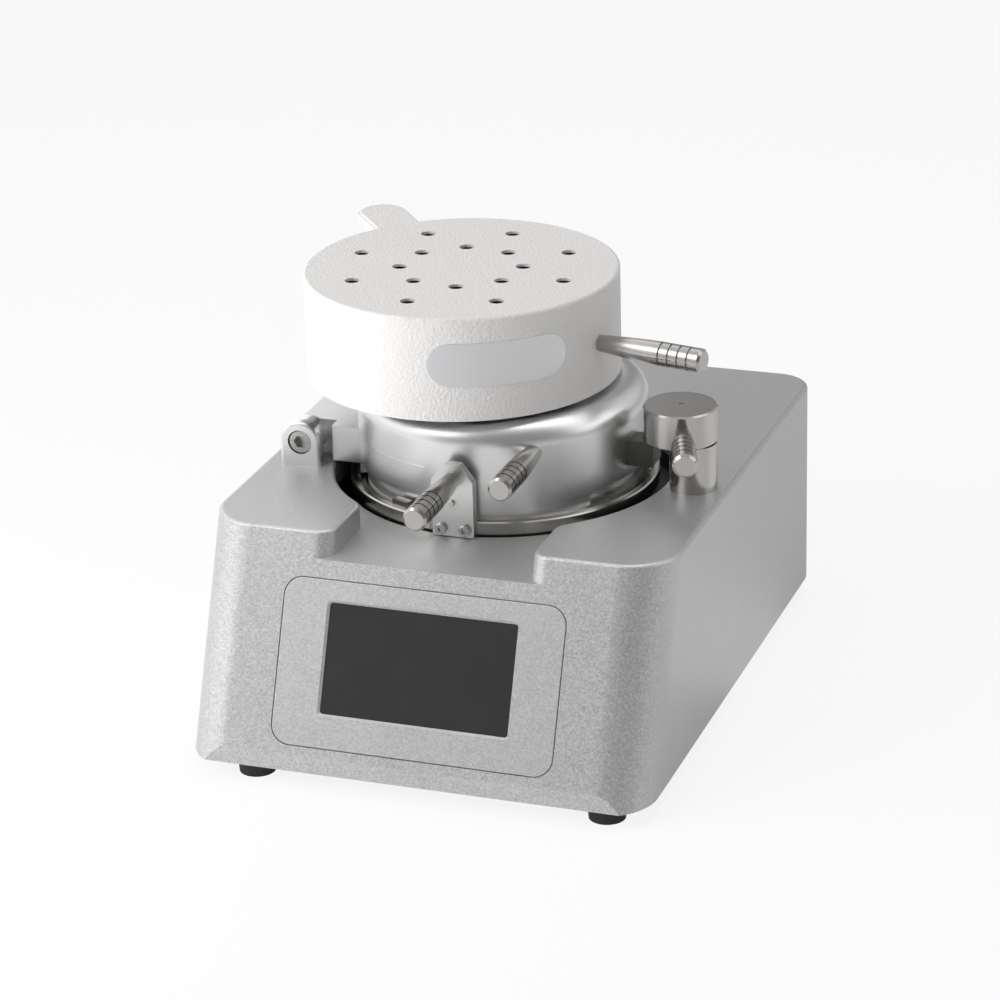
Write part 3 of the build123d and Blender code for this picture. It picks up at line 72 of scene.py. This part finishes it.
# the node tree of a new material, or of the world: node() makes any node in it
class Paint:
    def __init__(self, name, owner=None):
        self.owner = owner or bpy.data.materials.new(name)
        self.owner.use_nodes = True
        self.tree = self.owner.node_tree
        self.tree.nodes.clear()

    def node(self, kind, settings=None, inputs=None, output=0):
        made = self.tree.nodes.new(kind)
        for key, value in (settings or {}).items():
            setattr(made, key, value)
        for key, value in (inputs or {}).items():
            if isinstance(value, Wire):
                self.tree.links.new(value.socket, made.inputs[key])
            else:
                made.inputs[key].default_value = value
        return Wire(self, made.outputs[output])

    def place(self):
        return self.node("ShaderNodeTexCoord", output="Object")

    def axes(self, vector=None):
        split = self.node("ShaderNodeSeparateXYZ", None, {"Vector": vector or self.place()})
        outputs = split.socket.node.outputs
        return [Wire(self, outputs[k]) for k in range(3)]

    def join(self, x, y, z):
        return self.node("ShaderNodeCombineXYZ", None, {"X": x, "Y": y, "Z": z})

    # cloudy noise with features of about the given size, in metres
    def noise(self, size, vector=None, detail=2.0, rough=0.5):
        return self.node(
            "ShaderNodeTexNoise", None,
            {
                "Vector": vector or self.place(), "Scale": 1.0 / size,
                "Detail": detail, "Roughness": rough,
            },
        )

    # flakes: each cell of the given size has a level of its own
    def flakes(self, size):
        cell = self.node(
            "ShaderNodeTexVoronoi", {"feature": "F1"},
            {"Vector": self.place(), "Scale": 1.0 / size}, output="Color",
        )
        return self.axes(cell)[0]

    # a colour between two, by a level from 0 to 1
    def tint(self, level, dark, light):
        return self.node(
            "ShaderNodeMix", {"data_type": "RGBA"},
            {0: level, 6: (*dark, 1.0), 7: (*light, 1.0)}, output=2,
        )

    def bump(self, height, depth):
        return self.node(
            "ShaderNodeBump", None, {"Height": height, "Distance": depth, "Strength": 1.0}
        )

    def finish(self, **sockets):
        inputs = {key.replace("_", " "): value for key, value in sockets.items()}
        shader = self.node("ShaderNodeBsdfPrincipled", None, inputs)
        output = self.tree.nodes.new("ShaderNodeOutputMaterial")
        self.tree.links.new(shader.socket, output.inputs["Surface"])
        return self.owner


def shaded(colour, factor):
    return tuple(min(1.0, channel * factor) for channel in colour)


# a colour that strays from its middle by the contrast, as the level goes from 0 to 1
def mottled(paint, level, colour, contrast):
    return paint.tint(level, shaded(colour, 1 - contrast), shaded(colour, 1 + contrast))


# silver paint: a grey ground with bright and dark metal flakes in it
silver = {
    "colour": (0.52, 0.523, 0.525),
    "bezelLift": 1.04,
    "bezelShare": 0.7,
    "flakeSize": 0.00080,
    "flakeShare": 0.50,
    "fineSize": 0.00045,
    "fineShare": 0.38,
    "cloudSize": 0.03,
    "cloudShare": 0.12,
    "contrast": 0.30,
    "calm": 0.30,
    "frontFrom": 0.15,
    "frontTo": 0.75,
    "skinSize": 0.0012,
    "skinFlakes": 0.5,
    "skinDepth": 0.000045,
    "rough": 0.42,
    "roughSpread": 0.12,
    "metal": 0.60,
}


# painted glint: the flakes show more contrast on the front, where the light falls, and less on the
# top and the sides
def silverPaint(name, contrast, lift=1.0):
    paint = Paint(name)
    facing = paint.axes(paint.node("ShaderNodeTexCoord", output="Normal"))[1]
    front = (facing * -1.0).between(silver["frontFrom"], silver["frontTo"])
    # painted glint: flake strength rises on faces turned to the front, and also scales the skin bump
    flakeAndGlint = silver["calm"] + front * (1 - silver["calm"])
    coarse = paint.flakes(silver["flakeSize"])
    fine = paint.flakes(silver["fineSize"])
    cloud = paint.noise(silver["cloudSize"], detail=1.0)
    mixed = coarse * silver["flakeShare"] + fine * silver["fineShare"] + cloud * silver["cloudShare"]
    level = (mixed - 0.5) * flakeAndGlint + 0.5
    tone = mottled(paint, level, shaded(silver["colour"], lift), contrast)
    skin = paint.noise(silver["skinSize"], detail=1.0)
    normal = paint.bump((skin + coarse * silver["skinFlakes"]) * flakeAndGlint, silver["skinDepth"])
    spread = silver["roughSpread"]
    return paint.finish(
        Base_Color=tone, Metallic=silver["metal"],
        Roughness=silver["rough"] + level * spread - spread / 2, Normal=normal,
    )


# white powder coat with the pebbled skin of orange peel
powder = {
    "colour": (0.86, 0.845, 0.835),
    "shade": (0.80, 0.78, 0.77),
    "pebble": 0.0016,
    "pebbleShare": 0.6,
    "cloudSize": 0.05,
    "grainSize": 0.4,
    "grainHeight": 0.25,
    "lowest": 0.30,
    "highest": 0.70,
    "depth": 0.00020,
    "rough": 0.50,
    "roughSpread": 0.12,
}


def powderCoat(name):
    paint = Paint(name)
    pebble = paint.noise(powder["pebble"], detail=2.5, rough=0.55)
    grain = paint.noise(powder["pebble"] * powder["grainSize"], detail=1.0)
    cloud = paint.noise(powder["cloudSize"], detail=1.0)
    height = pebble.between(powder["lowest"], powder["highest"]) + grain * powder["grainHeight"]
    share = powder["pebbleShare"]
    tone = paint.tint(pebble * share + cloud * (1 - share), powder["shade"], powder["colour"])
    return paint.finish(
        Base_Color=tone, Roughness=powder["rough"] + pebble * powder["roughSpread"],
        Normal=paint.bump(height, powder["depth"]),
    )


turning = {"line": 0.0004, "ringShare": 0.8, "cloudSize": 0.02, "contrast": 0.08, "roughSpread": 0.14}


# metal turned about an axis: fine rings round it, and faint streaks of wear
def turnedMetal(name, centre, axis, colour, rough, depth=0.00002):
    paint = Paint(name)
    x, y, z = paint.axes()
    dx = x - centre[0]
    dy = y - centre[1]
    dz = z - centre[2]
    along = dx * axis[0] + dy * axis[1] + dz * axis[2]
    spread = dx * dx + dy * dy + dz * dz - along * along
    radius = spread.atLeast(0.0).root()
    line = turning["line"]
    rings = paint.noise(1.0, paint.join(along / line, radius / line, 0.0), detail=2.0, rough=0.6)
    cloud = paint.noise(turning["cloudSize"], detail=2.0)
    level = rings * turning["ringShare"] + cloud * (1 - turning["ringShare"])
    return paint.finish(
        Base_Color=mottled(paint, level, colour, turning["contrast"]), Metallic=1.0,
        Roughness=rough + (level - 0.5) * turning["roughSpread"], Normal=paint.bump(rings, depth),
    )


blasting = {
    "grain": 0.0005, "fineShare": 0.6, "cloudSize": 0.015,
    "depth": 0.00001, "contrast": 0.07, "roughSpread": 0.2,
}


# metal with a soft blasted or milled skin
def satinMetal(name, colour, rough):
    paint = Paint(name)
    fine = paint.noise(blasting["grain"], detail=2.0, rough=0.6)
    cloud = paint.noise(blasting["cloudSize"], detail=2.0)
    level = fine * blasting["fineShare"] + cloud * (1 - blasting["fineShare"])
    return paint.finish(
        Base_Color=mottled(paint, level, colour, blasting["contrast"]), Metallic=1.0,
        Roughness=rough + (level - 0.5) * blasting["roughSpread"],
        Normal=paint.bump(fine, blasting["depth"]),
    )


# streaks per metre, along the brush and across it
brushing = {"along": 40.0, "across": 2400.0, "depth": 0.000008, "roughSpread": 0.2}


# sheet or plate brushed along X or Y
def brushedMetal(name, colour, rough, along="X", contrast=0.10):
    paint = Paint(name)
    x, y, z = paint.axes()
    rates = [brushing["along"], brushing["across"]]
    if along == "Y":
        rates.reverse()
    streak = paint.join(x * rates[0], y * rates[1], z * brushing["across"])
    lines = paint.noise(1.0, streak, detail=2.0, rough=0.6)
    return paint.finish(
        Base_Color=mottled(paint, lines, colour, contrast), Metallic=1.0,
        Roughness=rough + (lines - 0.5) * brushing["roughSpread"],
        Normal=paint.bump(lines, brushing["depth"]),
    )


moulding = {"cloudSize": 0.02, "cloudShare": 0.5, "contrast": 0.12, "roughSpread": 0.12}


# moulded plastic or rubber with a fine grain
def moulded(name, colour, rough, grain=0.0006, depth=0.00002):
    paint = Paint(name)
    fine = paint.noise(grain, detail=2.0)
    cloud = paint.noise(moulding["cloudSize"], detail=2.0)
    level = cloud * moulding["cloudShare"] + fine * (1 - moulding["cloudShare"])
    return paint.finish(
        Base_Color=mottled(paint, level, colour, moulding["contrast"]),
        Roughness=rough + (cloud - 0.5) * moulding["roughSpread"], Normal=paint.bump(fine, depth),
    )


glass = {
    "dark": (0.030, 0.030, 0.031), "light": (0.036, 0.036, 0.037), "smearSize": 0.02,
    "smearFrom": 0.45, "smearTo": 0.75, "rough": 0.10, "smearRough": 0.10,
}


# dark glass of the display: even, with faint smears that only the gloss shows
def darkGlass(name):
    paint = Paint(name)
    smear = paint.noise(glass["smearSize"], detail=3.0, rough=0.6)
    dull = smear.between(glass["smearFrom"], glass["smearTo"]) * glass["smearRough"]
    tone = paint.tint(smear, glass["dark"], glass["light"])
    return paint.finish(Base_Color=tone, Roughness=glass["rough"] + dull)


board = {
    "tracks": 160.0, "gap": 0.05, "lacquer": (0.012, 0.10, 0.035), "copper": (0.05, 0.22, 0.08),
    "rough": 0.35, "trackRough": 0.1,
}


# green board: tracks as thin lines of copper under the lacquer
def circuitBoard(name):
    paint = Paint(name)
    x, y, z = paint.axes()
    grid = paint.join(x * board["tracks"], y * board["tracks"], 0.0)
    cell = paint.node(
        "ShaderNodeTexBrick", None,
        {"Vector": grid, "Scale": 1.0, "Mortar Size": board["gap"]}, output="Fac",
    )
    tone = paint.tint(cell, board["lacquer"], board["copper"])
    return paint.finish(Base_Color=tone, Roughness=board["rough"] + cell * board["trackRough"])


def boxMiddle(node):
    low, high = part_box(node)
    return (low + high) / 2


def wear(material, *names):
    for name in names:
        mesh = nodes[name].data
        mesh.materials.clear()
        mesh.materials.append(material)


# turned round the chamber's upright axis
chamberTurned = {
    "chamberAluminium": {
        "node": "chamber_pot", "colour": (0.76, 0.76, 0.76), "rough": 0.34, "depth": 0.000012,
    },
    "ringSteel": {
        "node": "clamp_ring", "colour": (0.46, 0.445, 0.42), "rough": 0.22, "depth": 0.000008,
    },
    "tableAluminium": {
        "node": "press_table", "colour": (0.5, 0.5, 0.5), "rough": 0.35, "depth": 0.00002,
    },
    "cupSteel": {
        "node": "model_cup", "colour": (0.45, 0.45, 0.45), "rough": 0.3, "depth": 0.00002,
    },
}
post = {"colour": (0.46, 0.445, 0.43), "rough": 0.19, "depth": 0.000025}
handle = {"colour": (0.44, 0.425, 0.41), "rough": 0.20, "depth": 0.00003}
# where each handle points, in degrees from X
handleAngles = {
    "ring_handle": -90.0,
    "chamber_handle": -90.0,
    "lock_lever": -71.4,
    "heater_handle": -12.0,
}

# the other finishes by material: how it is made, and the nodes that wear it
satins = {
    "satinBracket": ((0.82, 0.82, 0.815), 0.33, ("hinge_brackets", "hinge_arm", "hinge_block")),
    "screwSteel": ((0.50, 0.49, 0.48), 0.28, ("plate_screws", "stop_pin", "hinge_pin")),
    "plainSteel": (
        (0.42, 0.42, 0.43), 0.35,
        ("hinge_nut", "arm_screws", "base_screws", "load_bolts", "lock_spindle", "lock_nut",
         "rear_panel_screws"),
    ),
    "darkCatch": ((0.115, 0.112, 0.10), 0.45, ("catch_block",)),
    "loadAluminium": ((0.5, 0.5, 0.5), 0.42, ("load_plate", "load_pillars", "load_spacers")),
    "bushBrass": ((0.55, 0.38, 0.14), 0.35, ("hinge_bushes",)),
    "fittingBrass": (
        (0.60, 0.43, 0.18), 0.28, ("air_inlet_fitting", "exhaust_silencer", "board_standoffs"),
    ),
    "reflectorBright": ((0.75, 0.75, 0.76), 0.18, ("heater_reflector",)),
    "elementDark": ((0.10, 0.08, 0.07), 0.5, ("heating_element",)),
    "guardWire": ((0.55, 0.55, 0.55), 0.25, ("heater_guard",)),
}
plastics = {
    "sealSilicone": ((0.42, 0.42, 0.41), 0.5, ("table_seal", "foil_gasket")),
    "trayBlack": ((0.012, 0.012, 0.012), 0.6, ("pit_tray",)),
    "moduleBlack": ((0.03, 0.03, 0.035), 0.5, ("display_module", "solenoid_valves")),
    "inletBlack": ((0.015, 0.015, 0.016), 0.4, ("power_inlet", "switch_housing")),
    "rockerBlack": ((0.02, 0.02, 0.021), 0.22, ("switch_rocker",)),
    "regulatorGrey": ((0.06, 0.065, 0.075), 0.4, ("pressure_regulator",)),
    "hoseBlue": ((0.01, 0.05, 0.25), 0.3, ("air_hoses",)),
}
# plastics and fibre with a coarser skin
coarsePlastics = {
    "footRubber": {
        "node": "rubber_feet", "colour": (0.016, 0.016, 0.017), "rough": 0.6,
        "grain": 0.0006, "depth": 0.00005,
    },
    "mineralFibre": {
        "node": "heater_insulation", "colour": (0.10, 0.098, 0.09), "rough": 0.9,
        "grain": 0.0012, "depth": 0.0003,
    },
    "serviceBlack": {
        "node": "rear_panel", "colour": (0.035, 0.035, 0.037), "rough": 0.5,
        "grain": 0.0012, "depth": 0.00006,
    },
}
sheets = {
    "platesSteel": {
        "node": "handle_plates", "colour": (0.68, 0.68, 0.67), "rough": 0.34,
        "along": "X", "contrast": 0.10,
    },
    "labelMetal": {
        "node": "heater_label", "colour": (0.74, 0.745, 0.755), "rough": 0.42,
        "along": "X", "contrast": 0.05,
    },
    "plateSteel": {
        "node": "base_plate", "colour": (0.42, 0.42, 0.43), "rough": 0.4,
        "along": "Y", "contrast": 0.10,
    },
    "supplyCase": {
        "node": "power_supply", "colour": (0.45, 0.45, 0.45), "rough": 0.4,
        "along": "Y", "contrast": 0.10,
    },
}


# the facts of a finish, apart from the node that wears it
def looks(facts):
    return {key: value for key, value in facts.items() if key != "node"}


def dressNodes():
    contrast = silver["contrast"]
    wear(silverPaint("silverCasing", contrast), "base_cover")
    bezel = silverPaint("silverBezel", contrast * silver["bezelShare"], silver["bezelLift"])
    wear(bezel, "display_bezel")
    wear(powderCoat("powderWhite"), "heater_housing", "heater_arm", "arm_cover")
    wear(darkGlass("displayGlass"), "display_glass")
    wear(circuitBoard("boardGreen"), "control_board")
    up = (0.0, 0.0, 1.0)
    chamber = boxMiddle("model_cup")
    for name, facts in chamberTurned.items():
        wear(turnedMetal(name, chamber, up, **looks(facts)), facts["node"])
    for name in ("lock_cap", "lock_post", "heater_column"):
        wear(turnedMetal(name + "Steel", boxMiddle(name), up, **post), name)
    for name, angle in handleAngles.items():
        turn = math.radians(angle)
        axis = (math.cos(turn), math.sin(turn), 0.0)
        wear(turnedMetal(name + "Steel", boxMiddle(name), axis, **handle), name)
    for make, finishes in ((satinMetal, satins), (moulded, plastics)):
        for name, (colour, rough, worn) in finishes.items():
            wear(make(name, colour, rough), *worn)
    for make, finishes in ((moulded, coarsePlastics), (brushedMetal, sheets)):
        for name, facts in finishes.items():
            wear(make(name, **looks(facts)), facts["node"])
    print("materials on", len(nodes), "nodes")


dressNodes()

# the table, a shallow sheet that runs out of sight
floorSheet = {"reach": 9.0, "steps": 12, "tone": 0.92, "whiteShare": 0.86}
# painted reflection: to glossy rays the table glows in bands by the azimuth from the front, in
# degrees, so polished metal mirrors bright and dark soft boxes
floorPaintedGlow = {
    "base": 0.22,
    "softness": 10.0,
    "bands": {
        "left": {"from": -172.0, "to": -50.0, "level": 0.70},
        "front": {"from": -20.0, "to": 26.0, "level": 0.16},
        "right": {"from": 92.0, "to": 132.0, "level": 0.60},
    },
}


# a band of azimuths with soft ends, at the band's level
def azimuthBand(azimuth, band, softness):
    soft = math.radians(softness)
    start = math.radians(band["from"])
    stop = math.radians(band["to"])
    begun = azimuth.between(start - soft, start + soft)
    ended = azimuth.between(stop - soft, stop + soft)
    return begun * (1 - ended) * band["level"]


def makeFloor():
    # a flat grid: x and y step evenly from minus to plus the reach, z is 0
    count = floorSheet["steps"] + 1
    line = np.linspace(-floorSheet["reach"], floorSheet["reach"], count)
    gridX, gridY = np.meshgrid(line, line)
    points = np.stack([gridX.ravel(), gridY.ravel(), np.zeros(gridX.size)], axis=1)
    first = (np.arange(count - 1)[:, None] * count + np.arange(count - 1)[None, :]).ravel()
    faces = np.stack([first, first + 1, first + count + 1, first + count], axis=1)
    mesh = bpy.data.meshes.new("floor")
    mesh.from_pydata(points.tolist(), [], faces.tolist())
    floor = bpy.data.objects.new("floor", mesh)
    bpy.context.scene.collection.objects.link(floor)
    paint = Paint("floorWhite")
    tone = (floorSheet["tone"],) * 3 + (1.0,)
    matt = paint.node("ShaderNodeBsdfDiffuse", None, {"Color": tone})
    bright = paint.node("ShaderNodeEmission", None, {"Color": (1, 1, 1, 1), "Strength": 1.0})
    rays = paint.node("ShaderNodeLightPath").socket.node.outputs
    seen = Wire(paint, rays["Is Camera Ray"]) * floorSheet["whiteShare"]
    x, y, height = paint.axes()
    azimuth = x.sum("ARCTAN2", x, y * -1.0)
    paintedGlow = floorPaintedGlow["base"]
    for band in floorPaintedGlow["bands"].values():
        paintedGlow = paintedGlow + azimuthBand(azimuth, band, floorPaintedGlow["softness"])
    # painted reflection: the table shows these glowing bands to glossy rays only
    mirrored = Wire(paint, rays["Is Glossy Ray"]) * paintedGlow
    mix = paint.node("ShaderNodeMixShader", None, {0: seen + mirrored, 1: matt, 2: bright})
    output = paint.tree.nodes.new("ShaderNodeOutputMaterial")
    paint.tree.links.new(mix.socket, output.inputs["Surface"])
    mesh.materials.append(paint.owner)
    print("floor made")


makeFloor()

studio = {
    "ambient": 0.42,
    "lamps": {
        "key": {"at": (-1.3, -1.5, 1.8), "size": 1.3, "power": 17.0, "mirrored": True},
        "side": {"at": (-0.66, -0.46, 0.26), "size": 0.5, "power": 4.0, "mirrored": False},
        "top": {"at": (0.1, 0.3, 2.3), "size": 1.3, "power": 11.0, "mirrored": True},
    },
    "target": (0.0, 0.0, 0.12),
    # what polished metal mirrors: a dim room with soft boxes, azimuths from the front, in degrees
    "room": 0.26,
    "ceiling": 0.75,
    "ceilingFrom": 0.75,
    "ceilingTo": 0.95,
    "boxes": {
        "left": {"from": -158.0, "to": -38.0, "low": -0.10, "high": 0.85, "level": 1.10},
        "right": {"from": 78.0, "to": 124.0, "low": 0.10, "high": 0.92, "level": 1.2},
        "rear": {"from": 120.0, "to": 172.0, "low": 0.10, "high": 0.70, "level": 0.40},
    },
    "softness": 9.0,
    "footSoft": 0.08,
    "headSoft": 0.05,
}


def boxGlow(azimuth, height, box):
    foot = studio["footSoft"]
    head = studio["headSoft"]
    rising = height.between(box["low"] - foot, box["low"] + foot)
    falling = 1 - height.between(box["high"] - head, box["high"] + head)
    return azimuthBand(azimuth, box, studio["softness"]) * rising * falling


def makeWorld():
    paint = Paint("studio", bpy.data.worlds.new("studio"))
    rays = paint.node("ShaderNodeLightPath").socket.node.outputs
    camera = Wire(paint, rays["Is Camera Ray"])
    glossy = Wire(paint, rays["Is Glossy Ray"])
    through = Wire(paint, rays["Is Transmission Ray"])
    x, y, height = paint.axes(paint.node("ShaderNodeTexCoord", output="Generated"))
    azimuth = x.sum("ARCTAN2", x, y * -1.0)
    overhead = height.between(studio["ceilingFrom"], studio["ceilingTo"])
    mirrored = studio["room"] + overhead * (studio["ceiling"] - studio["room"])
    for box in studio["boxes"].values():
        mirrored = mirrored + boxGlow(azimuth, height, box)
    direct = camera + through
    level = direct + (1 - direct) * (glossy * mirrored + (1 - glossy) * studio["ambient"])
    shader = paint.node("ShaderNodeBackground", None, {"Color": (1, 1, 1, 1), "Strength": level})
    output = paint.tree.nodes.new("ShaderNodeOutputWorld")
    paint.tree.links.new(shader.socket, output.inputs["Surface"])
    bpy.context.scene.world = paint.owner


def makeLamps():
    for name, facts in studio["lamps"].items():
        data = bpy.data.lights.new(name, "AREA")
        data.shape = "SQUARE"
        data.size = facts["size"]
        data.energy = facts["power"]
        lamp = bpy.data.objects.new(name, data)
        lamp.location = facts["at"]
        lamp.visible_glossy = facts["mirrored"]
        away = Vector(facts["at"]) - Vector(studio["target"])
        lamp.rotation_euler = away.to_track_quat("Z", "Y").to_euler()
        bpy.context.scene.collection.objects.link(lamp)
    print("studio light set")


makeWorld()
makeLamps()

viewpoint = {
    "at": (0.6098, -1.6974, 0.8401),
    "azimuth": 19.97,
    "down": 22.27,
    "roll": -1.64,
    "lens": 130.9,
    "sensor": 36.0,
    "shift": (0.002, -0.0007),
    "reach": 50.0,
}


def makeCamera():
    a = math.radians(viewpoint["azimuth"])
    d = math.radians(viewpoint["down"])
    r = math.radians(viewpoint["roll"])
    ahead = Vector((-math.sin(a) * math.cos(d), math.cos(a) * math.cos(d), -math.sin(d)))
    right = Vector((math.cos(a), math.sin(a), 0.0))
    upward = right.cross(ahead)
    across = right * math.cos(r) + upward * math.sin(r)
    over = upward * math.cos(r) - right * math.sin(r)
    data = bpy.data.cameras.new("camera")
    data.sensor_width = viewpoint["sensor"]
    data.lens = viewpoint["lens"]
    data.shift_x, data.shift_y = viewpoint["shift"]
    data.clip_end = viewpoint["reach"]
    camera = bpy.data.objects.new("camera", data)
    turn = Matrix((across, over, -ahead)).transposed().to_4x4()
    camera.matrix_world = Matrix.Translation(viewpoint["at"]) @ turn
    bpy.context.scene.collection.objects.link(camera)
    bpy.context.scene.camera = camera
    print("camera set")


makeCamera()
bpy.context.scene.view_settings.view_transform = "Standard"
